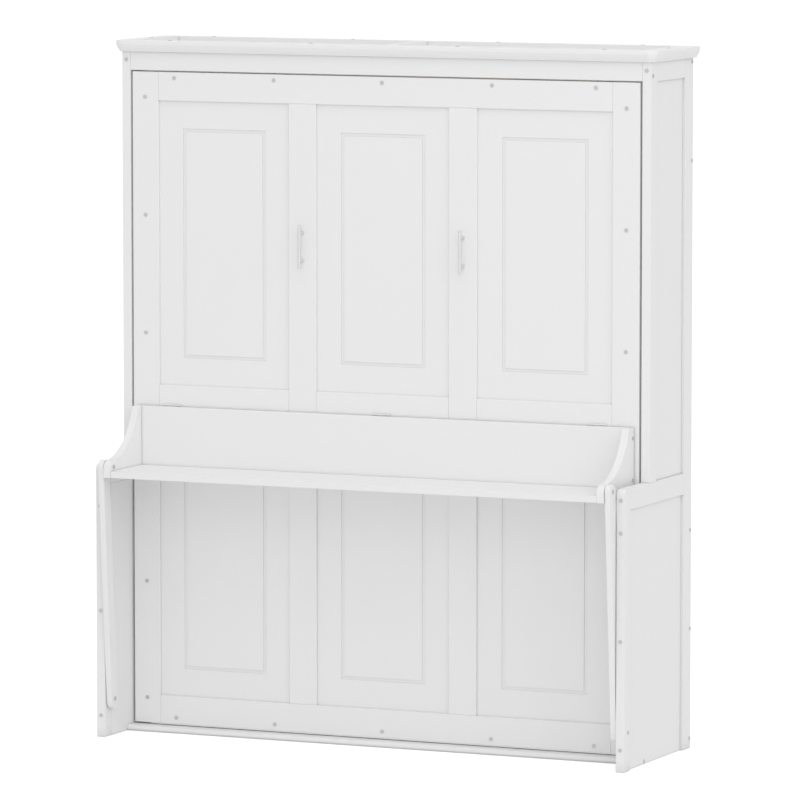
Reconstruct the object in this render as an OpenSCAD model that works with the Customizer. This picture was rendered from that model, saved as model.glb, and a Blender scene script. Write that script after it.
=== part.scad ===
// Wall bed with a fold down desk, closed against the wall.
// The bed turns about the pivots near its foot. The desk hangs on the bed's face and stays
// level, because two arms hold its brackets parallel to the bed.
// X runs across the cabinet, Y from the desk to the wall, Z up. The origin is on the floor,
// in the middle of the whole outline.

/* [Cabinet] */
// Outer width of the cabinet, without the crown
case_w = 1730; // [1700:5:1760]
// Depth of the upper cabinet
case_depth = 337; // [330:1:345]
// Height of the cabinet under the crown
case_h = 2077; // [2070:1:2084]
// Thickness of the side frames
side_t = 28; // [24:1:30]
// How far the lower sides stand in front of the upper cabinet
step_out = 191; // [180:1:200]
// Height of the lower sides
step_h = 836; // [834:1:838]
// How far the side panels lie behind their frame
panel_recess = 9; // [4:1:10]

/* [Crown] */
// Height of the crown moulding
crown_h = 34; // [30:1:40]
// How far the crown stands out at the front and the sides
crown_out = 21; // [16:1:28]
// Width of the crown boards, seen from above
crown_board = 64; // [55:1:75]

/* [Bed face] */
// Gap at the two sides of the bed face
face_gap = 6.5; // [5:0.5:8]
// Thickness of the face frame
face_t = 20; // [18:1:22]
// Width of the face stiles and rails
stile_w = 87; // [80:1:90]
// Width of the two mullions
mullion_w = 91; // [85:1:95]
// Height of the face above the floor
face_low = 22.5; // [22:0.5:24]
// Depth of the panels behind the face frame
field_recess = 7.5; // [6:0.5:9]
// Inset of the routed groove from the edges of its panel
groove_inset = 80; // [60:5:90]

/* [Bed frame] */
// Clear width between the side rails
mattress_w = 1549; // [1540:1:1552]
// Depth of the frame rails behind the face
rail_depth = 100; // [80:5:100]
// Thickness of the frame rails
rail_t = 27; // [24:1:27]
// Number of slats
slat_count = 13; // [10:1:15]

/* [Desk] */
// How far the desk reaches in front of the upper cabinet
desk_reach = 237; // [232:1:240]
// Height of the desk top above the floor
desk_h = 819; // [816:1:822]
// Thickness of the desk top
desk_t = 20; // [18:1:21]
// Height of the back board above the desk top
back_h = 180; // [176:1:184]
// Thickness of the brackets
bracket_t = 23; // [20:1:23]

/* [Arms] */
// Width of the desk arms
arm_w = 42; // [38:1:44]
// Thickness of the desk arms
arm_t = 18; // [16:1:18]

/* [Handles] */
// Length of a handle
handle_l = 130; // [120:1:150]
// Distance between a handle's posts
handle_pitch = 84; // [80:1:96]

/* [Hidden] */

$fn = 48;
eps = 0.01;
edge_ease = 1.2;
paint = [0.93, 0.93, 0.92];
pine = [0.87, 0.76, 0.58];
zinc = [0.66, 0.67, 0.67];
nickel = [0.74, 0.75, 0.73];
strut_black = [0.12, 0.12, 0.13];
left = -1;
right = 1;

// Cabinet planes
front_y = (desk_reach - case_depth) / 2;
rear_y = front_y + case_depth;
low_front_y = front_y - step_out;
desk_front_y = front_y - desk_reach;
half_w = case_w / 2;
inner_x = half_w - side_t;
rear_post_w = 62;
upper_post_w = 53;
lower_post_w = 44;
post_corner_r = 20;
side_rail_h = 58;
mid_rail_h = 63;
panel_t = side_t - panel_recess;
header_t = 28;
header_low = 2020.5;
back_rail_t = 18;
back_rail_h = 60;
back_rail_heights = [30, 363, 661, 1770];
top_back_rail_h = 87;
toe_front = 44;
toe_depth = 62;
toe_bolt_depth = 29;
toe_h = 17.5;
top_cross_w = 28;
top_rear_w = 33;
top_panel_t = 9;

crown_corner_r = 9;
crown_inside = crown_board - crown_out;
crown_reach = half_w + crown_out;
crown_front_y = front_y - crown_out;
crown_inner_x = crown_reach - crown_board;
crown_inner_y = crown_front_y + crown_board;

// Bed face, seen from the front
face_x = inner_x - face_gap;
top_gap = 4;
face_high = header_low - top_gap;
opening_x = face_x - stile_w;
field_w = (2 * opening_x - 2 * mullion_w) / 3;
mullion_x = field_w / 2 + mullion_w / 2;
face_mid_w = 89;
mid_low = (face_low + face_high - face_mid_w) / 2;
mid_high = mid_low + face_mid_w;
low_field_low = face_low + stile_w;
high_field_high = face_high - stile_w;
field_t = 9;
field_tongue = 7;
groove_w = 9.5;
groove_depth = 2.2;
groove_end = groove_inset + 4;

// Bed frame behind the face
rail_x = mattress_w / 2;
frame_y = front_y + face_t;
frame_rear_y = frame_y + rail_depth;
frame_low = face_low + 6;
frame_high = face_high - 4.5;
bearer = 20;
slat_t = 14;
slat_w = 70;

// The four pivots of the desk linkage: the bed and the desk's arms stay parallel
desk_pin = [front_y - 3.2, desk_h + back_h + 4];
arm_top = [front_y - 214, 831];
arm_foot = [front_y - 163, 116];
bed_pin = desk_pin + arm_foot - arm_top;
arm_slope = atan2(arm_top[1] - arm_foot[1], arm_top[0] - arm_foot[0]);
arm_len = norm(arm_top - arm_foot);
side_clear = 1.5;
arm_x = inner_x - side_clear - arm_t;
bracket_x = arm_x - side_clear - bracket_t;

// Gas struts: both end studs lie on one circle round the bed's pivot
strut_r = 190;
strut_case_angle = 91;
strut_bed_angle = -72;
strut_case_pin = bed_pin + strut_r * [cos(strut_case_angle), sin(strut_case_angle)];
strut_bed_pin = bed_pin + strut_r * [cos(strut_bed_angle), sin(strut_bed_angle)];
strut_slope = (strut_case_angle + strut_bed_angle) / 2 - 90;
strut_x = 819;
cylinder_r = 9;
cylinder_bore = 7;
cylinder_len = 195;
gland_len = 8;
rod_r = 4;
rod_len = 200;
stud_r = 4;
eye_r = 9;
eye_t = 10;
plate_t = 4;
pin_r = 7;
bush_r = 11;
running = 0.05;
loose = 0.35;

// Bolt heads
head_r = 6;
head_t = 1.5;
socket_r = 2.9;
socket_floor = 0.5;
pivot_head_r = 6.5;
pivot_head_t = 2;
arm_bolt_r = 5;
// The heads on the brackets are flat ones, because the arms pass over them
bracket_head_t = 0.9;

// Gap between the bed face and the desk's back board
back_gap = 4;
back_board_t = 18;

// Desk hinges
hinge_xs = [-698.5, 0, 698.5];
hinge_w = 58;
knuckle_r = 2.6;
knuckle_pin_r = 1.3;
leaf_t = 1.5;
leaf_h = 22;

// The two ends of a width laid out from its middle
function span(middle, width) = [middle - width / 2, middle + width / 2];

// A block between two corners
module block(x, y, z) {
    translate([x[0], y[0], z[0]])
        cube([x[1] - x[0], y[1] - y[0], z[1] - z[0]]);
}

// Cross-section of a board with its four corners taken off
module eased_section(u, v) {
    c = edge_ease;
    polygon([[u[0] + c, v[0]], [u[1] - c, v[0]], [u[1], v[0] + c], [u[1], v[1] - c],
        [u[1] - c, v[1]], [u[0] + c, v[1]], [u[0], v[1] - c], [u[0], v[0] + c]]);
}

// A board between two corners, with all its edges eased
module board(x, y, z) {
    intersection() {
        translate([0, 0, z[0]])
            linear_extrude(z[1] - z[0])
                eased_section(x, y);
        translate([0, y[1], 0])
            rotate([90, 0, 0])
                linear_extrude(y[1] - y[0])
                    eased_section(x, z);
        translate([x[0], 0, 0])
            rotate([90, 0, 90])
                linear_extrude(x[1] - x[0])
                    eased_section(y, z);
    }
}

// The same board on the left or the right side, given from the middle outwards
module side_board(side, x, y, z) {
    board(side == right ? x : [-x[1], -x[0]], y, z);
}

// A round bar along X, from one x to another, centred at [y, z]
module x_bar(x, centre, r) {
    translate([x[0], centre[0], centre[1]])
        rotate([0, 90, 0])
            cylinder(r = r, h = x[1] - x[0]);
}

// The same on the left or the right side
module side_bar(side, x, centre, r) {
    x_bar(side == right ? x : [-x[1], -x[0]], centre, r);
}

// A flat drawn in the Y-Z plane and given a thickness along X
module side_plate(side, x, thickness) {
    translate([side == right ? x : -x - thickness, 0, 0])
        rotate([90, 0, 90])
            linear_extrude(thickness)
                children();
}

// What a rounded top corner at the front leaves off, in Y and Z, up to some way above it
module corner_waste(front, top, r, above) {
    difference() {
        translate([front - 1, top - r])
            square([r + 1, r + above]);
        translate([front + r, top - r])
            circle(r = r);
    }
}

// A flat bolt head with a hexagon socket, standing on a face at the origin
module bolt_head(thickness = head_t) {
    difference() {
        cylinder(r = head_r, h = thickness, $fn = 32);
        translate([0, 0, socket_floor])
            cylinder(r = socket_r, h = thickness, $fn = 6);
    }
}

// A bolt head on a face that looks forwards
module front_head(x, y, z) {
    translate([x, y, z])
        rotate([90, 0, 0])
            bolt_head();
}

// A bolt head on a face that looks outwards to the left or the right
module side_head(side, x, centre, thickness = head_t) {
    translate([side * x, centre[0], centre[1]])
        rotate([0, side * 90, 0])
            bolt_head(thickness);
}

// A bolt head on the top of the crown
module top_head(x, y) {
    translate([x, y, case_h + crown_h])
        bolt_head();
}

// Cabinet sides
module rear_post(side) {
    color(paint)
        side_board(side, [inner_x, half_w], [rear_y - rear_post_w, rear_y], [0, case_h]);
}

module upper_front_post(side) {
    color(paint)
        side_board(side, [inner_x, half_w], [front_y, front_y + upper_post_w], [step_h, case_h]);
}

module lower_front_post(side) {
    color(paint)
        difference() {
            side_board(side, [inner_x, half_w], [low_front_y, low_front_y + lower_post_w],
                [0, step_h]);
            side_plate(side, inner_x - 1, side_t + 2)
                corner_waste(low_front_y, step_h, post_corner_r, 1);
            side_bar(side, [inner_x - 1, half_w + 1], arm_foot, arm_bolt_r + running);
        }
}

module top_side_rail(side) {
    color(paint)
        side_board(side, [inner_x, half_w], [front_y + upper_post_w, rear_y - rear_post_w],
            [case_h - side_rail_h, case_h]);
}

module mid_side_rail(side) {
    color(paint)
        side_board(side, [inner_x, half_w], [low_front_y + lower_post_w, rear_y - rear_post_w],
            [step_h - mid_rail_h, step_h]);
}

module upper_side_panel(side) {
    color(paint)
        side_board(side, [inner_x, inner_x + panel_t],
            [front_y + upper_post_w, rear_y - rear_post_w], [step_h, case_h - side_rail_h]);
}

module lower_side_panel(side) {
    color(paint)
        side_board(side, [inner_x, inner_x + panel_t],
            [low_front_y + lower_post_w, rear_y - rear_post_w], [0, step_h - mid_rail_h]);
}

// Front, back and floor members of the cabinet
module header_rail() {
    color(paint)
        board([-inner_x, inner_x], [front_y, front_y + header_t], [header_low, case_h]);
}

module back_rails() {
    y = [rear_y - back_rail_t, rear_y];
    color(paint) {
        for (z = back_rail_heights)
            board([-inner_x, inner_x], y, span(z, back_rail_h));
        board([-inner_x, inner_x], y, [case_h - top_back_rail_h, case_h]);
    }
}

// A flat board on the floor with a half round front edge
module toe_bar() {
    color(paint)
        translate([-inner_x, 0, 0])
            rotate([90, 0, 90])
                linear_extrude(2 * inner_x)
                    union() {
                        translate([front_y - toe_front + toe_h / 2, 0])
                            square([toe_depth - toe_h / 2, toe_h]);
                        translate([front_y - toe_front + toe_h / 2, toe_h / 2])
                            circle(r = toe_h / 2);
                    }
}

// Section of the crown, from a depth inside the cabinet outwards: x is the distance in front
// of the cabinet, y the height
module crown_section(inside) {
    lip = 11;
    fillet_low = 3;
    fillet_high = 22;
    nosing = 3;
    union() {
        polygon([[-inside, 0], [lip, 0], [lip, fillet_low],
            [lip + 5.5, fillet_low + 8], [lip + 8, fillet_low + 14], [crown_out, fillet_high],
            [crown_out, crown_h - nosing], [crown_out - nosing, crown_h],
            [-inside, crown_h]]);
        translate([crown_out - nosing, crown_h - nosing])
            circle(r = nosing);
    }
}

// The part of a moulding that stands over an outline drawn on the floor
module crown_over(outline) {
    intersection() {
        children();
        translate([0, 0, case_h - 1])
            linear_extrude(crown_h + 2)
                polygon(outline);
    }
}

// The bend of the moulding round the right front corner
module crown_bend() {
    translate([half_w - crown_corner_r, front_y + crown_corner_r, case_h])
        rotate(-90)
            rotate_extrude(angle = 90)
                translate([crown_corner_r, 0])
                    crown_section(crown_corner_r);
}

// The front board carries both bends, and the side boards butt against it
module crown_front() {
    straight = half_w - crown_corner_r;
    color(paint)
        union() {
            crown_over([[-straight, crown_front_y - 1], [straight, crown_front_y - 1],
                [straight, front_y + crown_corner_r], [crown_inner_x, crown_inner_y],
                [-crown_inner_x, crown_inner_y], [-straight, front_y + crown_corner_r]])
                translate([straight, front_y, case_h])
                    rotate([90, 0, -90])
                        linear_extrude(2 * straight)
                            crown_section(crown_inside);
            crown_bend();
            mirror([1, 0, 0])
                crown_bend();
        }
}

module crown_side(side) {
    straight = front_y + crown_corner_r;
    color(paint)
        mirror([side == left ? 1 : 0, 0, 0])
            crown_over([[crown_reach + 1, straight], [crown_reach + 1, rear_y],
                [crown_inner_x, rear_y], [crown_inner_x, crown_inner_y],
                [half_w - crown_corner_r, straight]])
                translate([half_w, rear_y, case_h])
                    rotate([90, 0, 0])
                        linear_extrude(rear_y - straight)
                            crown_section(crown_inside);
}

// The frame inside the crown, with two thin panels let in at its foot
module top_rear_rail() {
    color(paint)
        board([-crown_inner_x, crown_inner_x], [rear_y - top_rear_w, rear_y],
            [case_h, case_h + crown_h]);
}

module top_cross_rail() {
    color(paint)
        board([-top_cross_w / 2, top_cross_w / 2], [crown_inner_y, rear_y - top_rear_w],
            [case_h, case_h + crown_h]);
}

module top_panels() {
    color(paint)
        for (side = [left, right])
            side_board(side, [top_cross_w / 2, crown_inner_x],
                [crown_inner_y, rear_y - top_rear_w], [case_h, case_h + top_panel_t]);
}

// Bolt heads that show on the cabinet
module case_bolts() {
    lower_bolts = [66, 387, 707, 804];
    crown_bolts = [-710, -240, 240, 710];
    color(zinc)
        for (side = [left, right]) {
            front_head(side * (half_w - side_t / 2), front_y, 2052);
            for (z = lower_bolts)
                front_head(side * (half_w - side_t / 2), low_front_y, z);
            side_head(side, half_w, [front_y + header_t / 2, 2036]);
            side_head(side, half_w - panel_recess,
                [front_y - toe_front + toe_bolt_depth, toe_h / 2]);
            for (z = concat(back_rail_heights, [case_h - 12]))
                side_head(side, half_w, [rear_y - back_rail_t / 2, z]);
            for (x = crown_bolts)
                if (sign(x) == side) {
                    top_head(x, front_y + header_t / 2);
                    top_head(x, rear_y - top_rear_w / 2);
                }
            top_head(side * (half_w - side_t / 2), (crown_inner_y + rear_y - top_rear_w) / 2);
        }
}

// A steel plate on each cabinet side, with the pin that the bed turns on and the upper stud
// of the gas strut
module case_pivot_plates() {
    plate_w = 52;
    low = bed_pin[1] - 60;
    color(zinc)
        for (side = [left, right])
            union() {
                side_plate(side, inner_x - plate_t, plate_t)
                    difference() {
                        translate([bed_pin[0] - plate_w / 2, low])
                            square([plate_w, strut_case_pin[1] + 24 - low]);
                        for (z = [low + 16, bed_pin[1] + 60, strut_case_pin[1] - 40])
                            translate([bed_pin[0], z])
                                circle(r = 3, $fn = 24);
                    }
                side_bar(side, [rail_x + rail_t + plate_t + 1, inner_x - plate_t + eps],
                    bed_pin, pin_r);
                side_bar(side, [strut_x - eye_t / 2, inner_x - plate_t + eps], strut_case_pin,
                    stud_r);
            }
}

// Shoulder bolts that the arms turn on at the foot
module arm_pivot_bolts() {
    color(zinc)
        for (side = [left, right])
            union() {
                side_bar(side, [arm_x - pivot_head_t, arm_x], arm_foot, pivot_head_r);
                side_bar(side, [arm_x - eps, half_w + eps], arm_foot, arm_bolt_r);
                side_bar(side, [half_w, half_w + head_t], arm_foot, head_r);
            }
}

// Bed face: a frame with grooves that hold six panels
module field_groove(x, z) {
    block([x[0] - field_tongue, x[1] + field_tongue],
        [front_y + field_recess, front_y + field_recess + field_t],
        [z[0] - field_tongue, z[1] + field_tongue]);
}

module field_grooves() {
    for (i = [-1, 0, 1]) {
        x = span(i * (field_w + mullion_w), field_w);
        field_groove(x, [low_field_low, mid_low]);
        field_groove(x, [mid_high, high_field_high]);
    }
}

module face_board(x, z) {
    color(paint)
        difference() {
            board(x, [front_y, front_y + face_t], z);
            field_grooves();
        }
}

module face_stile(side) {
    face_board(side == right ? [opening_x, face_x] : [-face_x, -opening_x],
        [face_low, face_high]);
}

module mullion(side) {
    face_board(span(side * mullion_x, mullion_w), [low_field_low, high_field_high]);
}

module face_mid_rails() {
    for (i = [-1, 0, 1])
        face_board(span(i * (field_w + mullion_w), field_w), [mid_low, mid_high]);
}

// A panel with a rectangle routed into its front
module field_panel(i, z) {
    x = span(i * (field_w + mullion_w), field_w);
    y = front_y + field_recess;
    outer = groove_inset;
    inner = groove_inset + groove_w;
    color(paint)
        difference() {
            field_groove(x, z);
            difference() {
                block([x[0] + outer, x[1] - outer], [y - 1, y + groove_depth],
                    [z[0] + groove_end, z[1] - groove_end]);
                block([x[0] + inner, x[1] - inner], [y - 2, y + groove_depth + 1],
                    [z[0] + groove_end + groove_w, z[1] - groove_end - groove_w]);
            }
        }
}

module upper_panels() {
    for (i = [-1, 0, 1])
        field_panel(i, [mid_high, high_field_high]);
}

module lower_panels() {
    for (i = [-1, 0, 1])
        field_panel(i, [low_field_low, mid_low]);
}

// Bed frame
module bed_side_rail(side) {
    color(paint)
        side_board(side, [rail_x, rail_x + rail_t], [frame_y, frame_rear_y],
            [frame_low, frame_high]);
}

module bed_end_rail(z) {
    color(paint)
        board([-rail_x, rail_x], [frame_y, frame_rear_y], z);
}

module slat_bearers() {
    z = [frame_low + rail_t, frame_high - rail_t];
    color(pine) {
        for (side = [left, right])
            side_board(side, [rail_x - bearer, rail_x], [frame_y, frame_y + bearer], z);
        board([-bearer, bearer], [frame_y, frame_y + bearer], z);
    }
}

module slats() {
    end_space = 40;
    low = frame_low + rail_t + end_space;
    high = frame_high - rail_t - end_space - slat_w;
    pitch = (high - low) / (slat_count - 1);
    color(pine)
        for (i = [0 : slat_count - 1])
            board([-rail_x + 1, rail_x - 1], [frame_y + bearer, frame_y + bearer + slat_t],
                [low + i * pitch, low + i * pitch + slat_w]);
}

// A steel plate on the bed's side rail, with the bush round the pivot pin
module bed_pivot_plates() {
    outer = rail_x + rail_t;
    color(zinc)
        for (side = [left, right])
            difference() {
                union() {
                    side_plate(side, outer, plate_t)
                        translate(bed_pin - [27, 75])
                            square([84, 150]);
                    side_bar(side, [outer + plate_t - eps, inner_x - plate_t - 1.5], bed_pin,
                        bush_r);
                    side_plate(side, outer, plate_t)
                        translate(strut_bed_pin - [27, 13])
                            square([39, 50]);
                    side_bar(side, [outer + plate_t - eps, strut_x + eye_t / 2], strut_bed_pin,
                        stud_r);
                }
                side_bar(side, [outer + plate_t, inner_x], bed_pin, pin_r + running);
            }
}

// A round bar on two posts with collars at their feet
module handle(side) {
    bar_out = 22;
    bar_r = 5;
    post_r = 4;
    collar_r = 6;
    collar_t = 2;
    middle_z = 1500;
    color(nickel)
        translate([side * mullion_x, front_y, middle_z])
            union() {
                translate([0, -bar_out, -handle_l / 2])
                    cylinder(r = bar_r, h = handle_l);
                for (i = [-0.5, 0.5])
                    translate([0, 0, i * handle_pitch])
                        rotate([90, 0, 0]) {
                            cylinder(r = post_r, h = bar_out);
                            cylinder(r = collar_r, h = collar_t);
                        }
            }
}

// Bolt heads that show on the bed face
module face_bolts() {
    stile_bolts = [100, 459.5, 819, 1221.5, 1581, 1940];
    rail_bolts = [-690, -357, 0, 357, 690];
    color(zinc) {
        for (side = [left, right])
            for (z = stile_bolts)
                front_head(side * (rail_x + rail_t / 2), front_y, z);
        for (x = rail_bolts) {
            front_head(x, front_y, frame_low + rail_t / 2);
            front_head(x, front_y, frame_high - rail_t / 2);
        }
    }
}

// Butt hinges between the bed face and the desk's back board, closed leaf on leaf
module hinge_bed_leaves() {
    third = hinge_w / 3;
    color(zinc)
        for (x = hinge_xs)
            union() {
                block([x - hinge_w / 2, x + hinge_w / 2], [front_y - leaf_t, front_y],
                    [desk_pin[1] - 2 - leaf_h, desk_pin[1] - knuckle_r - 0.6]);
                for (i = [-1, 1]) {
                    x_bar([x + i * third - third / 2 + 0.2, x + i * third + third / 2 - 0.2],
                        desk_pin, knuckle_r);
                    block([x + i * third - third / 2 + 0.2, x + i * third + third / 2 - 0.2],
                        [front_y - leaf_t, front_y],
                        [desk_pin[1] - knuckle_r - 0.6 - eps, desk_pin[1] - 1]);
                }
                x_bar([x - hinge_w / 2, x + hinge_w / 2], desk_pin, knuckle_pin_r);
            }
}

module hinge_desk_leaves() {
    third = hinge_w / 3;
    y = front_y - back_gap;
    color(zinc)
        for (x = hinge_xs)
            difference() {
                union() {
                    block([x - hinge_w / 2, x + hinge_w / 2], [y, y + leaf_t],
                        [desk_pin[1] - 2 - leaf_h, desk_pin[1] - knuckle_r - 0.6]);
                    block([x - third / 2 + 0.2, x + third / 2 - 0.2], [y, y + leaf_t],
                        [desk_pin[1] - knuckle_r - 0.6 - eps, desk_pin[1] - 1.8]);
                    x_bar([x - third / 2 + 0.2, x + third / 2 - 0.2], desk_pin, knuckle_r);
                }
                x_bar([x - third / 2, x + third / 2], desk_pin, knuckle_pin_r + running);
            }
}

// Desk
module desk_back_board() {
    color(paint)
        board([-bracket_x, bracket_x],
            [front_y - back_gap - back_board_t, front_y - back_gap],
            [desk_h - desk_t, desk_h + back_h]);
}

module desk_shelf() {
    color(paint)
        board([-bracket_x, bracket_x], [desk_front_y, front_y - back_gap - back_board_t],
            [desk_h - desk_t, desk_h]);
}

// Side of a bracket, in Y and Z: a hollow curve runs down from the back to a round nose
module bracket_outline() {
    nose_r = 24;
    nose_high = desk_h + 32;
    curve_r = 200;
    curve_centre = [front_y - 236, desk_h + 230.6];
    difference() {
        translate([desk_front_y, desk_h - desk_t])
            square([desk_reach - back_gap, desk_t + back_h]);
        translate(curve_centre)
            circle(r = curve_r, $fn = 96);
        corner_waste(desk_front_y, nose_high, nose_r, desk_reach - nose_r);
    }
}

module desk_bracket(side) {
    color(paint)
        difference() {
            side_plate(side, bracket_x, bracket_t)
                bracket_outline();
            side_bar(side, [bracket_x - 1, bracket_x + bracket_t + 1], arm_top,
                arm_bolt_r + running);
        }
}

// Heads of the board's screws on the brackets, and the bolts for the tops of the arms
module desk_bolts() {
    shank_end = arm_x + arm_t + loose;
    color(zinc)
        for (side = [left, right]) {
            for (z = [844, 968])
                side_head(side, bracket_x + bracket_t, [front_y - 13, z], bracket_head_t);
            union() {
                side_bar(side, [bracket_x - pivot_head_t, bracket_x], arm_top, pivot_head_r);
                side_bar(side, [bracket_x - eps, shank_end + eps], arm_top, arm_bolt_r);
                side_bar(side, [shank_end, inner_x - loose], arm_top, pivot_head_r);
            }
        }
}

// An arm between the cabinet's side and the desk's bracket, with round ends
module arm_outline() {
    translate(arm_foot)
        rotate(arm_slope) {
            translate([-9, -arm_w / 2])
                square([arm_len + 9, arm_w]);
            translate([-9, 0])
                circle(r = arm_w / 2);
            translate([arm_len, 0])
                circle(r = arm_w / 2);
        }
}

module arm(side) {
    color(paint)
        difference() {
            side_plate(side, arm_x, arm_t)
                arm_outline();
            side_bar(side, [arm_x - 1, arm_x + arm_t + 1], arm_foot, arm_bolt_r + running);
            side_bar(side, [arm_x - 1, arm_x + arm_t + 1], arm_top, arm_bolt_r + loose);
        }
}

// Along a strut: the children's Z axis starts at the stud and runs down the strut
module strut_axis(side, pin, slope) {
    translate([side * strut_x, pin[0], pin[1]])
        rotate([slope - 90, 0, 0])
            children();
}

// A round eye on a stud
module strut_eye(side, pin) {
    side_bar(side, [strut_x - eye_t / 2, strut_x + eye_t / 2], pin, eye_r);
}

// The bore of an eye, turned on its stud
module strut_eye_bore(side, pin) {
    side_bar(side, [strut_x - eye_t, strut_x + eye_t], pin, stud_r + running);
}

// Half section of the cylinder, closed at the stud and open round the rod
module cylinder_section() {
    closed = 22;
    mouth = cylinder_len - gland_len;
    polygon([[0, 12], [cylinder_r, 12], [cylinder_r, cylinder_len], [rod_r + loose, cylinder_len],
        [rod_r + loose, mouth], [cylinder_bore, mouth], [cylinder_bore, closed], [0, closed]]);
}

module strut_cylinder(side) {
    color(strut_black)
        difference() {
            union() {
                strut_eye(side, strut_case_pin);
                strut_axis(side, strut_case_pin, strut_slope) {
                    cylinder(r = rod_r, h = 14);
                    rotate_extrude()
                        cylinder_section();
                }
            }
            strut_eye_bore(side, strut_case_pin);
        }
}

// A rod with a piston that runs inside the cylinder
module strut_rod(side) {
    color(nickel)
        difference() {
            union() {
                strut_eye(side, strut_bed_pin);
                strut_axis(side, strut_bed_pin, strut_slope + 180) {
                    cylinder(r = rod_r, h = rod_len);
                    translate([0, 0, rod_len - 8])
                        cylinder(r = cylinder_bore - loose, h = 8);
                }
            }
            strut_eye_bore(side, strut_bed_pin);
        }
}

rear_post(left);  // rear_post_left
rear_post(right);  // rear_post_right
upper_front_post(left);  // upper_front_post_left
upper_front_post(right);  // upper_front_post_right
lower_front_post(left);  // lower_front_post_left
lower_front_post(right);  // lower_front_post_right
top_side_rail(left);  // top_side_rail_left
top_side_rail(right);  // top_side_rail_right
mid_side_rail(left);  // mid_side_rail_left
mid_side_rail(right);  // mid_side_rail_right
upper_side_panel(left);  // upper_side_panel_left
upper_side_panel(right);  // upper_side_panel_right
lower_side_panel(left);  // lower_side_panel_left
lower_side_panel(right);  // lower_side_panel_right
header_rail();
crown_front();
crown_side(left);  // crown_left
crown_side(right);  // crown_right
top_rear_rail();
top_cross_rail();
top_panels();
back_rails();
toe_bar();
case_bolts();
case_pivot_plates();
arm_pivot_bolts();
face_stile(left);  // face_stile_left
face_stile(right);  // face_stile_right
face_board([-opening_x, opening_x], [high_field_high, face_high]);  // face_top_rail
face_board([-opening_x, opening_x], [face_low, low_field_low]);  // face_bottom_rail
mullion(left);  // mullion_left
mullion(right);  // mullion_right
face_mid_rails();
upper_panels();
lower_panels();
bed_side_rail(left);  // bed_side_rail_left
bed_side_rail(right);  // bed_side_rail_right
bed_end_rail([frame_high - rail_t, frame_high]);  // bed_head_rail
bed_end_rail([frame_low, frame_low + rail_t]);  // bed_foot_rail
slat_bearers();
slats();
handle(left);  // handle_left
handle(right);  // handle_right
face_bolts();
bed_pivot_plates();
hinge_bed_leaves();
desk_back_board();
desk_shelf();
desk_bracket(left);  // desk_bracket_left
desk_bracket(right);  // desk_bracket_right
hinge_desk_leaves();
desk_bolts();
arm(left);  // arm_left
arm(right);  // arm_right
strut_cylinder(left);  // strut_cylinder_left
strut_cylinder(right);  // strut_cylinder_right
strut_rod(left);  // strut_rod_left
strut_rod(right);  // strut_rod_right
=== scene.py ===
import math

import bmesh
import bpy
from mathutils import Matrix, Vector

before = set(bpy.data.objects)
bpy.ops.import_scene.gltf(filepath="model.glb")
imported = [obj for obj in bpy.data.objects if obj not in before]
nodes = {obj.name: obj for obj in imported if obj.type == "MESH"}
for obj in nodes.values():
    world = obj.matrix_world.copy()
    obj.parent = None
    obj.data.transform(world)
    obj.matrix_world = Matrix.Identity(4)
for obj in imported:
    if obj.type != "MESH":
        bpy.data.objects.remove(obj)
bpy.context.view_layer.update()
print("frame loaded:", len(nodes), "pieces")


# small helpers for shader trees

def addNode(tree, kind, x, y, **values):
    made = tree.nodes.new(kind)
    made.location = (x, y)
    for name, value in values.items():
        setattr(made, name, value)
    return made


def newGroup(name, inputs, outputs):
    # inputs and outputs: {socket name: (kind, start value)}
    group = bpy.data.node_groups.new(name, "ShaderNodeTree")
    for inOut, sockets in (("INPUT", inputs), ("OUTPUT", outputs)):
        for label, (kind, value) in sockets.items():
            socket = group.interface.new_socket(
                label, in_out=inOut, socket_type="NodeSocket" + kind)
            if value is not None:
                socket.default_value = value
    start = addNode(group, "NodeGroupInput", -1200, 0)
    end = addNode(group, "NodeGroupOutput", 600, 0)
    return group, start, end


def placeGroup(tree, group, x, y, **values):
    made = addNode(tree, "ShaderNodeGroup", x, y, node_tree=group)
    for name, value in values.items():
        made.inputs[name].default_value = value
    return made


def mixColours(tree, x, y, factor, light, dark):
    # light where the factor is 0, dark where it is 1
    made = addNode(tree, "ShaderNodeMix", x, y, data_type="RGBA")
    tree.links.new(factor, made.inputs["Factor"])
    tree.links.new(light, made.inputs[6])   # the colour sockets A and B
    tree.links.new(dark, made.inputs[7])
    return made.outputs[2]                  # the colour result


def newMaterial(name):
    material = bpy.data.materials.new(name)
    material.use_nodes = True
    tree = material.node_tree
    shader = tree.nodes["Principled BSDF"]
    shader.location = (500, 0)
    return material, tree, shader


# shared effects

traceSamples = {"edge": 6, "crease": 8}


def makeSoftEdges():
    # rounds sharp edges in the shading only
    group, start, end = newGroup(
        "softEdges", {"Radius": ("Float", 0.001)}, {"Normal": ("Vector", None)})
    bevel = addNode(group, "ShaderNodeBevel", 0, 0, samples=traceSamples["edge"])
    group.links.new(start.outputs["Radius"], bevel.inputs["Radius"])
    group.links.new(bevel.outputs["Normal"], end.inputs["Normal"])
    return group


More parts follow.
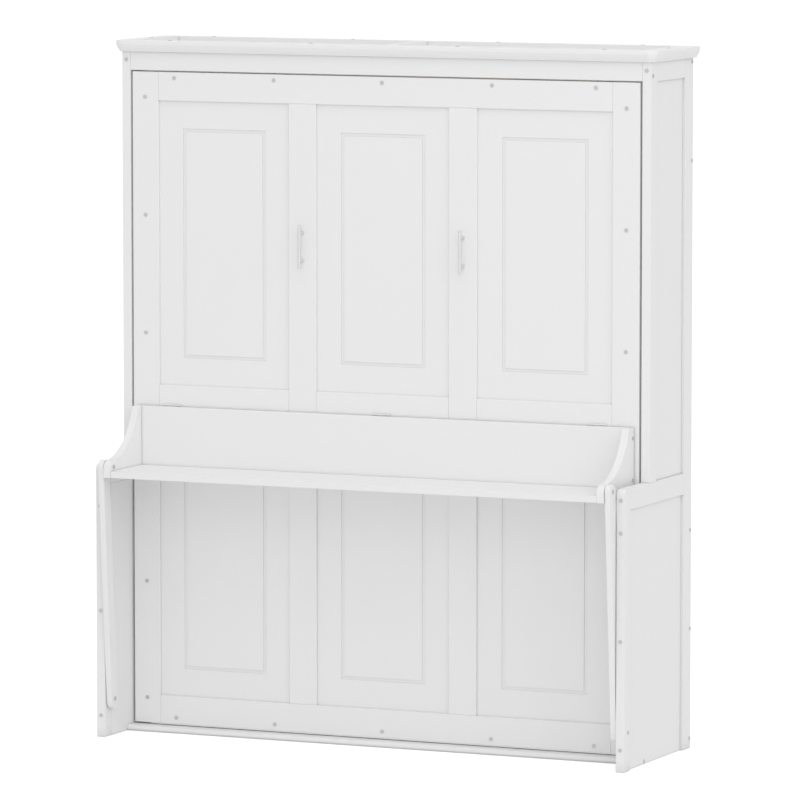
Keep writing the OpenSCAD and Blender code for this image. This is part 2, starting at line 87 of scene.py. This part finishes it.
def makeCreaseShade():
    # painted shade: darkens the colour in tight corners, joints and recesses, where shade falls
    group, start, end = newGroup(
        "creaseShade",
        {"Reach": ("Float", 0.004), "Amount": ("Float", 0.3)},
        {"Shade": ("Float", None)})
    corner = addNode(group, "ShaderNodeAmbientOcclusion", -800, 0, samples=traceSamples["crease"])
    group.links.new(start.outputs["Reach"], corner.inputs["Distance"])
    closed = addNode(group, "ShaderNodeMath", -500, 0, operation="SUBTRACT")
    closed.inputs[0].default_value = 1.0
    group.links.new(corner.outputs["AO"], closed.inputs[1])
    shade = addNode(group, "ShaderNodeMath", -200, 0, operation="MULTIPLY")
    group.links.new(closed.outputs[0], shade.inputs[0])
    group.links.new(start.outputs["Amount"], shade.inputs[1])
    left = addNode(group, "ShaderNodeMath", 100, 0, operation="SUBTRACT", use_clamp=True)
    left.inputs[0].default_value = 1.0
    group.links.new(shade.outputs[0], left.inputs[1])
    group.links.new(left.outputs[0], end.inputs["Shade"])
    return group


paintFigure = {
    "slowSize": 3.2, "slowDetail": 3.0,             # changes of tone over a board
    "peelDetail": 2.0, "peelRoughness": 0.45,       # orange peel, its size is set per material
    "fibreSize": 60.0, "fibreDetail": 4.0, "fibreShare": 0.35}


def makeRolledPaint():
    # orange peel of a rolled and sprayed finish, with slow changes of tone
    group, start, end = newGroup(
        "rolledPaint",
        {"Tone": ("Color", (0.8, 0.8, 0.8, 1)), "Tone Change": ("Float", 0.02),
         "Sheen Change": ("Float", 0.06), "Roughness": ("Float", 0.5),
         "Peel Size": ("Float", 420.0)},
        {"Color": ("Color", None), "Roughness": ("Float", None), "Height": ("Float", None)})
    place = addNode(group, "ShaderNodeTexCoord", -1200, 300)
    slow = addNode(group, "ShaderNodeTexNoise", -900, 300)
    slow.inputs["Scale"].default_value = paintFigure["slowSize"]
    slow.inputs["Detail"].default_value = paintFigure["slowDetail"]
    peel = addNode(group, "ShaderNodeTexNoise", -900, 0)
    peel.inputs["Detail"].default_value = paintFigure["peelDetail"]
    peel.inputs["Roughness"].default_value = paintFigure["peelRoughness"]
    fibre = addNode(group, "ShaderNodeTexNoise", -900, -300)
    fibre.inputs["Scale"].default_value = paintFigure["fibreSize"]
    fibre.inputs["Detail"].default_value = paintFigure["fibreDetail"]
    for texture in (slow, peel, fibre):
        group.links.new(place.outputs["Object"], texture.inputs["Vector"])
    group.links.new(start.outputs["Peel Size"], peel.inputs["Scale"])
    centred = addNode(group, "ShaderNodeMath", -650, 300, operation="SUBTRACT")
    centred.inputs[1].default_value = 0.5   # the noise runs from 0 to 1
    group.links.new(slow.outputs["Fac"], centred.inputs[0])
    amount = addNode(group, "ShaderNodeMath", -450, 300, operation="MULTIPLY_ADD")
    amount.inputs[2].default_value = 1.0
    group.links.new(centred.outputs[0], amount.inputs[0])
    group.links.new(start.outputs["Tone Change"], amount.inputs[1])
    tone = addNode(group, "ShaderNodeVectorMath", -200, 300, operation="SCALE")
    group.links.new(start.outputs["Tone"], tone.inputs[0])
    group.links.new(amount.outputs[0], tone.inputs["Scale"])
    group.links.new(tone.outputs[0], end.inputs["Color"])
    sheen = addNode(group, "ShaderNodeMath", -450, 0, operation="MULTIPLY")
    group.links.new(centred.outputs[0], sheen.inputs[0])
    group.links.new(start.outputs["Sheen Change"], sheen.inputs[1])
    rough = addNode(group, "ShaderNodeMath", -200, 0, operation="ADD", use_clamp=True)
    group.links.new(sheen.outputs[0], rough.inputs[0])
    group.links.new(start.outputs["Roughness"], rough.inputs[1])
    group.links.new(rough.outputs[0], end.inputs["Roughness"])
    height = addNode(group, "ShaderNodeMath", -450, -300, operation="MULTIPLY_ADD")
    height.inputs[1].default_value = paintFigure["fibreShare"]
    group.links.new(fibre.outputs["Fac"], height.inputs[0])
    group.links.new(peel.outputs["Fac"], height.inputs[2])
    group.links.new(height.outputs[0], end.inputs["Height"])
    return group


pineFigure = {
    "ringSize": 14.0, "ringDetail": 1.0, "ringWander": 0.6,
    "lateSharpness": 3.0, "lateShare": 0.55,        # the dark late wood of each ring
    "poreSize": 160.0, "poreDetail": 3.0, "poreShare": 0.25,
    "roughness": 0.55, "roughChange": 0.15}


def makePineGrain():
    # long fibres with growth rings along one axis of the board
    group, start, end = newGroup(
        "pineGrain",
        {"Light": ("Color", (0.74, 0.56, 0.34, 1)), "Dark": ("Color", (0.5, 0.3, 0.14, 1)),
         "Stretch": ("Vector", (1, 1, 1)), "Ring Width": ("Float", 1.0)},
        {"Color": ("Color", None), "Roughness": ("Float", None), "Height": ("Float", None)})
    place = addNode(group, "ShaderNodeTexCoord", -1200, 300)
    stretched = addNode(group, "ShaderNodeVectorMath", -1000, 300, operation="MULTIPLY")
    group.links.new(place.outputs["Object"], stretched.inputs[0])
    group.links.new(start.outputs["Stretch"], stretched.inputs[1])
    rings = addNode(group, "ShaderNodeTexNoise", -800, 300)
    rings.inputs["Scale"].default_value = pineFigure["ringSize"]
    rings.inputs["Detail"].default_value = pineFigure["ringDetail"]
    rings.inputs["Distortion"].default_value = pineFigure["ringWander"]
    group.links.new(stretched.outputs[0], rings.inputs["Vector"])
    bands = addNode(group, "ShaderNodeMath", -600, 300, operation="MULTIPLY")
    group.links.new(rings.outputs["Fac"], bands.inputs[0])
    group.links.new(start.outputs["Ring Width"], bands.inputs[1])
    saw = addNode(group, "ShaderNodeMath", -450, 300, operation="FRACT")
    group.links.new(bands.outputs[0], saw.inputs[0])
    late = addNode(group, "ShaderNodeMath", -300, 300, operation="POWER")
    late.inputs[1].default_value = pineFigure["lateSharpness"]
    group.links.new(saw.outputs[0], late.inputs[0])
    pores = addNode(group, "ShaderNodeTexNoise", -800, -100)
    pores.inputs["Scale"].default_value = pineFigure["poreSize"]
    pores.inputs["Detail"].default_value = pineFigure["poreDetail"]
    group.links.new(stretched.outputs[0], pores.inputs["Vector"])
    blend = addNode(
        group, "ShaderNodeMath", -100, 200, operation="MULTIPLY_ADD", use_clamp=True)
    blend.inputs[1].default_value = pineFigure["lateShare"]
    group.links.new(late.outputs[0], blend.inputs[0])
    faint = addNode(group, "ShaderNodeMath", -300, 0, operation="MULTIPLY")
    faint.inputs[1].default_value = pineFigure["poreShare"]
    group.links.new(pores.outputs["Fac"], faint.inputs[0])
    group.links.new(faint.outputs[0], blend.inputs[2])
    colour = mixColours(
        group, 150, 200, blend.outputs[0], start.outputs["Light"], start.outputs["Dark"])
    group.links.new(colour, end.inputs["Color"])
    rough = addNode(group, "ShaderNodeMath", 150, -50, operation="MULTIPLY_ADD")
    rough.inputs[1].default_value = pineFigure["roughChange"]
    rough.inputs[2].default_value = pineFigure["roughness"]
    group.links.new(pores.outputs["Fac"], rough.inputs[0])
    group.links.new(rough.outputs[0], end.inputs["Roughness"])
    group.links.new(blend.outputs[0], end.inputs["Height"])
    return group


metalFigure = {
    "cloudSize": 90.0, "cloudDetail": 4.0, "scratchDetail": 2.0,
    "roughChange": 0.14}        # half of it up and half down


def makeBrushedMetal():
    # fine scratches and a dull cast over plated steel
    group, start, end = newGroup(
        "brushedMetal",
        {"Metal": ("Color", (0.6, 0.6, 0.6, 1)), "Dull": ("Color", (0.4, 0.4, 0.4, 1)),
         "Roughness": ("Float", 0.35), "Scratch Size": ("Float", 900.0)},
        {"Color": ("Color", None), "Roughness": ("Float", None), "Height": ("Float", None)})
    place = addNode(group, "ShaderNodeTexCoord", -1200, 300)
    clouds = addNode(group, "ShaderNodeTexNoise", -900, 300)
    clouds.inputs["Scale"].default_value = metalFigure["cloudSize"]
    clouds.inputs["Detail"].default_value = metalFigure["cloudDetail"]
    scratch = addNode(group, "ShaderNodeTexNoise", -900, -100)
    scratch.inputs["Detail"].default_value = metalFigure["scratchDetail"]
    for texture in (clouds, scratch):
        group.links.new(place.outputs["Object"], texture.inputs["Vector"])
    group.links.new(start.outputs["Scratch Size"], scratch.inputs["Scale"])
    colour = mixColours(
        group, -300, 300, clouds.outputs["Fac"], start.outputs["Metal"], start.outputs["Dull"])
    group.links.new(colour, end.inputs["Color"])
    change = addNode(group, "ShaderNodeMath", -500, 0, operation="MULTIPLY_ADD")
    change.inputs[1].default_value = metalFigure["roughChange"]
    change.inputs[2].default_value = -metalFigure["roughChange"] / 2
    group.links.new(scratch.outputs["Fac"], change.inputs[0])
    rough = addNode(group, "ShaderNodeMath", -300, 0, operation="ADD", use_clamp=True)
    group.links.new(change.outputs[0], rough.inputs[0])
    group.links.new(start.outputs["Roughness"], rough.inputs[1])
    group.links.new(rough.outputs[0], end.inputs["Roughness"])
    group.links.new(scratch.outputs["Fac"], end.inputs["Height"])
    return group


softEdges = makeSoftEdges()
creaseShade = makeCreaseShade()
rolledPaint = makeRolledPaint()
pineGrain = makePineGrain()
brushedMetal = makeBrushedMetal()
print("shared effects ready")


# materials

def finishSurface(tree, shader, surface, colour, look):
    # colour, roughness and fine relief go to the shader, over softened edges
    edges = placeGroup(tree, softEdges, -100, -350, Radius=look["edgeRadius"])
    bump = addNode(tree, "ShaderNodeBump", 200, -250)
    bump.inputs["Strength"].default_value = look["relief"]
    bump.inputs["Distance"].default_value = look["reliefDepth"]
    tree.links.new(colour, shader.inputs["Base Color"])
    tree.links.new(surface.outputs["Roughness"], shader.inputs["Roughness"])
    tree.links.new(surface.outputs["Height"], bump.inputs["Height"])
    tree.links.new(edges.outputs["Normal"], bump.inputs["Normal"])
    tree.links.new(bump.outputs["Normal"], shader.inputs["Normal"])


# one white paint, with the rounding and the painted shade in corners of each kind of board
whitePaint = {
    "tone": (0.86, 0.86, 0.86, 1), "toneChange": 0.012, "roughness": 0.5, "gloss": 0.3,
    "relief": 0.1, "reliefDepth": 0.0002}
paintedBoards = {
    "framePaint": {"edgeRadius": 0.0012, "creaseShadeReach": 0.008, "creaseShadeAmount": 0.24},
    "panelPaint": {"edgeRadius": 0.0012, "creaseShadeReach": 0.006, "creaseShadeAmount": 0.2},
    # postPaint reaches far: painted shade from the arms on the lower front posts and from the
    # panel steps on the rear posts
    "postPaint": {"edgeRadius": 0.003, "creaseShadeReach": 0.04, "creaseShadeAmount": 0.25}}


def makeWhitePaint(name, paint, board):
    material, tree, shader = newMaterial(name)
    surface = placeGroup(tree, rolledPaint, -100, 0, Tone=paint["tone"],
                         Roughness=paint["roughness"], **{"Tone Change": paint["toneChange"]})
    shader.inputs["Specular IOR Level"].default_value = paint["gloss"]
    # painted shade in corners and joints, multiplied into the paint's colour
    crease = placeGroup(tree, creaseShade, -100, 300,
                        Reach=board["creaseShadeReach"], Amount=board["creaseShadeAmount"])
    shaded = addNode(tree, "ShaderNodeVectorMath", 200, 200, operation="SCALE")
    tree.links.new(surface.outputs["Color"], shaded.inputs[0])
    tree.links.new(crease.outputs["Shade"], shaded.inputs["Scale"])
    finishSurface(tree, shader, surface, shaded.outputs[0], {**paint, **board})
    return material


slatPine = {
    "light": (0.76, 0.58, 0.36, 1), "dark": (0.52, 0.32, 0.16, 1), "ringWidth": 9.0,
    "edgeRadius": 0.001, "relief": 0.2, "reliefDepth": 0.0003}
# the grain is stretched along the board
grainStretch = {"pineAcross": (0.06, 1.0, 1.0), "pineUpright": (1.0, 1.0, 0.06)}


def makePine(name, look, stretch):
    material, tree, shader = newMaterial(name)
    surface = placeGroup(tree, pineGrain, -100, 0, Light=look["light"], Dark=look["dark"],
                         Stretch=stretch, **{"Ring Width": look["ringWidth"]})
    finishSurface(tree, shader, surface, surface.outputs["Color"], look)
    return material


platedSteel = {"edgeRadius": 0.0004, "relief": 0.1, "reliefDepth": 0.0001}
plainMetals = {
    "boltZinc": {
        "metal": (0.61, 0.61, 0.61, 1), "dull": (0.54, 0.54, 0.54, 1),
        "roughness": 0.5, "metallic": 0.6},
    "hingeZinc": {
        "metal": (0.8, 0.8, 0.79, 1), "dull": (0.73, 0.73, 0.72, 1),
        "roughness": 0.55, "metallic": 1.0},
    "handleNickel": {
        "metal": (0.72, 0.73, 0.72, 1), "dull": (0.68, 0.69, 0.68, 1),
        "roughness": 0.6, "metallic": 0.3},
    "rodChrome": {
        "metal": (0.72, 0.72, 0.72, 1), "dull": (0.68, 0.68, 0.68, 1),
        "roughness": 0.14, "metallic": 1.0}}


def makeMetal(name, look):
    material, tree, shader = newMaterial(name)
    shader.inputs["Metallic"].default_value = look["metallic"]
    surface = placeGroup(tree, brushedMetal, -100, 0, Metal=look["metal"], Dull=look["dull"],
                         Roughness=look["roughness"])
    finishSurface(tree, shader, surface, surface.outputs["Color"], platedSteel)
    return material


strutLacquer = {
    "tone": (0.022, 0.022, 0.024, 1), "toneChange": 0.1, "roughness": 0.26, "peelSize": 900.0,
    "coat": 0.3, "edgeRadius": 0.0006, "relief": 0.08, "reliefDepth": 0.0001}


def makeStrutLacquer(name, look):
    material, tree, shader = newMaterial(name)
    surface = placeGroup(
        tree, rolledPaint, -100, 0, Tone=look["tone"], Roughness=look["roughness"],
        **{"Tone Change": look["toneChange"], "Peel Size": look["peelSize"]})
    shader.inputs["Coat Weight"].default_value = look["coat"]
    finishSurface(tree, shader, surface, surface.outputs["Color"], look)
    return material


materials = {"strutLacquer": makeStrutLacquer("strutLacquer", strutLacquer)}
for name, board in paintedBoards.items():
    materials[name] = makeWhitePaint(name, whitePaint, board)
for name, stretch in grainStretch.items():
    materials[name] = makePine(name, slatPine, stretch)
for name, look in plainMetals.items():
    materials[name] = makeMetal(name, look)
print("materials ready:", len(materials))


# which finish each piece of the frame takes, framePaint where none is named

finishes = {
    "panelPaint": ["upper_panels", "lower_panels"],
    # the posts take the paint with the wider painted shade
    "postPaint": ["lower_front_post_left", "lower_front_post_right",
                  "rear_post_left", "rear_post_right"],
    "pineAcross": ["slats"],
    "pineUpright": ["slat_bearers"],
    "boltZinc": ["case_bolts", "face_bolts", "desk_bolts", "arm_pivot_bolts"],
    "hingeZinc": ["case_pivot_plates", "bed_pivot_plates",
                  "hinge_bed_leaves", "hinge_desk_leaves"],
    "handleNickel": ["handle_left", "handle_right"],
    "rodChrome": ["strut_rod_left", "strut_rod_right"],
    "strutLacquer": ["strut_cylinder_left", "strut_cylinder_right"]}
finishOf = {piece: finish for finish, pieces in finishes.items() for piece in pieces}

for name, piece in nodes.items():
    piece.data.materials.clear()
    piece.data.materials.append(materials[finishOf.get(name, "framePaint")])
print("finishes given to", len(nodes), "pieces")


# floor, light and camera

pureWhite = (1, 1, 1, 1)
studio = {
    "floorSize": 60.0, "floorGap": 0.0005, "floorTone": (0.9, 0.9, 0.9, 1),
    "floorLift": 0.42,        # added to the lit floor where it is seen directly
    "worldStrength": 0.7}


def seenDirectly(tree):
    # 1 where the camera sees a surface straight, reflected or through glass
    path = addNode(tree, "ShaderNodeLightPath", -600, 0)
    seen = addNode(tree, "ShaderNodeMath", -400, 0, operation="MAXIMUM")
    tree.links.new(path.outputs["Is Camera Ray"], seen.inputs[0])
    tree.links.new(path.outputs["Is Glossy Ray"], seen.inputs[1])
    either = addNode(tree, "ShaderNodeMath", -250, 0, operation="MAXIMUM")
    tree.links.new(seen.outputs[0], either.inputs[0])
    tree.links.new(path.outputs["Is Transmission Ray"], either.inputs[1])
    return either.outputs[0]


def makeFloor(look):
    mesh = bpy.data.meshes.new("studioFloor")
    shape = bmesh.new()
    bmesh.ops.create_grid(shape, x_segments=2, y_segments=2, size=look["floorSize"])
    shape.to_mesh(mesh)
    shape.free()
    floor = bpy.data.objects.new("studioFloor", mesh)
    bpy.context.scene.collection.objects.link(floor)
    floor.location.z = -look["floorGap"]
    material = bpy.data.materials.new("studioFloor")
    material.use_nodes = True
    tree = material.node_tree
    tree.nodes.clear()
    end = addNode(tree, "ShaderNodeOutputMaterial", 600, 0)
    matte = addNode(tree, "ShaderNodeBsdfDiffuse", 0, 100)
    matte.inputs["Color"].default_value = look["floorTone"]
    lift = addNode(tree, "ShaderNodeEmission", 0, -100)
    lift.inputs["Color"].default_value = pureWhite
    power = addNode(tree, "ShaderNodeMath", -120, -100, operation="MULTIPLY")
    power.inputs[1].default_value = look["floorLift"]
    tree.links.new(seenDirectly(tree), power.inputs[0])
    tree.links.new(power.outputs[0], lift.inputs["Strength"])
    both = addNode(tree, "ShaderNodeAddShader", 300, 0)
    tree.links.new(matte.outputs[0], both.inputs[0])
    tree.links.new(lift.outputs[0], both.inputs[1])
    tree.links.new(both.outputs[0], end.inputs["Surface"])
    mesh.materials.append(material)


def makeWorld(look):
    world = bpy.data.worlds.new("studioWorld")
    bpy.context.scene.world = world
    world.use_nodes = True
    tree = world.node_tree
    tree.nodes.clear()
    end = addNode(tree, "ShaderNodeOutputWorld", 600, 0)
    soft = addNode(tree, "ShaderNodeBackground", 100, 100)
    soft.inputs["Color"].default_value = pureWhite
    soft.inputs["Strength"].default_value = look["worldStrength"]
    white = addNode(tree, "ShaderNodeBackground", 100, -100)
    white.inputs["Color"].default_value = pureWhite
    mix = addNode(tree, "ShaderNodeMixShader", 350, 0)
    tree.links.new(seenDirectly(tree), mix.inputs["Fac"])
    tree.links.new(soft.outputs[0], mix.inputs[1])
    tree.links.new(white.outputs[0], mix.inputs[2])
    tree.links.new(mix.outputs[0], end.inputs["Surface"])


lamps = {
    "keyRight": {
        "place": (6.0, -11.5, 8.5), "aim": (0, 0, 1.0),
        "size": 7.0, "power": 168.0},
    "overhead": {
        "place": (1.0, -4.5, 13.0), "aim": (0, -0.2, 1.0),
        "size": 7.0, "power": 185.0},
    "highRight": {
        "place": (11.5, -4.5, 9.0), "aim": (0.4, 0, 1.0),
        "size": 7.0, "power": 233.0},
    "lowFront": {
        "place": (4.0, -13.0, 1.0), "aim": (0, 0, 0.6),
        "size": 1.8, "power": 114.0}}


def makeLamps(looks):
    for name, look in looks.items():
        light = bpy.data.lights.new(name, "AREA")
        light.shape = "SQUARE"
        light.size = look["size"]
        light.energy = look["power"]
        lamp = bpy.data.objects.new(name, light)
        bpy.context.scene.collection.objects.link(lamp)
        lamp.location = look["place"]
        beam = Vector(look["aim"]) - lamp.location
        lamp.rotation_euler = beam.to_track_quat("-Z", "Y").to_euler()


# fitted to the corners of the cabinet in the photograph
viewpoint = {
    "place": (7.8903, -17.626, 2.997), "yaw": 24.016, "pitch": 5.779,
    "lens": 290.48, "sensor": 36.0, "near": 0.5, "far": 200.0}


def makeCamera(look):
    data = bpy.data.cameras.new("photoCamera")
    data.sensor_width = look["sensor"]
    data.lens = look["lens"]
    data.clip_start = look["near"]
    data.clip_end = look["far"]
    camera = bpy.data.objects.new("photoCamera", data)
    bpy.context.scene.collection.objects.link(camera)
    camera.location = look["place"]
    camera.rotation_euler = (
        math.radians(90 - look["pitch"]), 0, math.radians(look["yaw"]))
    bpy.context.scene.camera = camera


makeFloor(studio)
makeWorld(studio)
makeLamps(lamps)
makeCamera(viewpoint)
bpy.context.scene.view_settings.view_transform = "Standard"
print("studio ready")
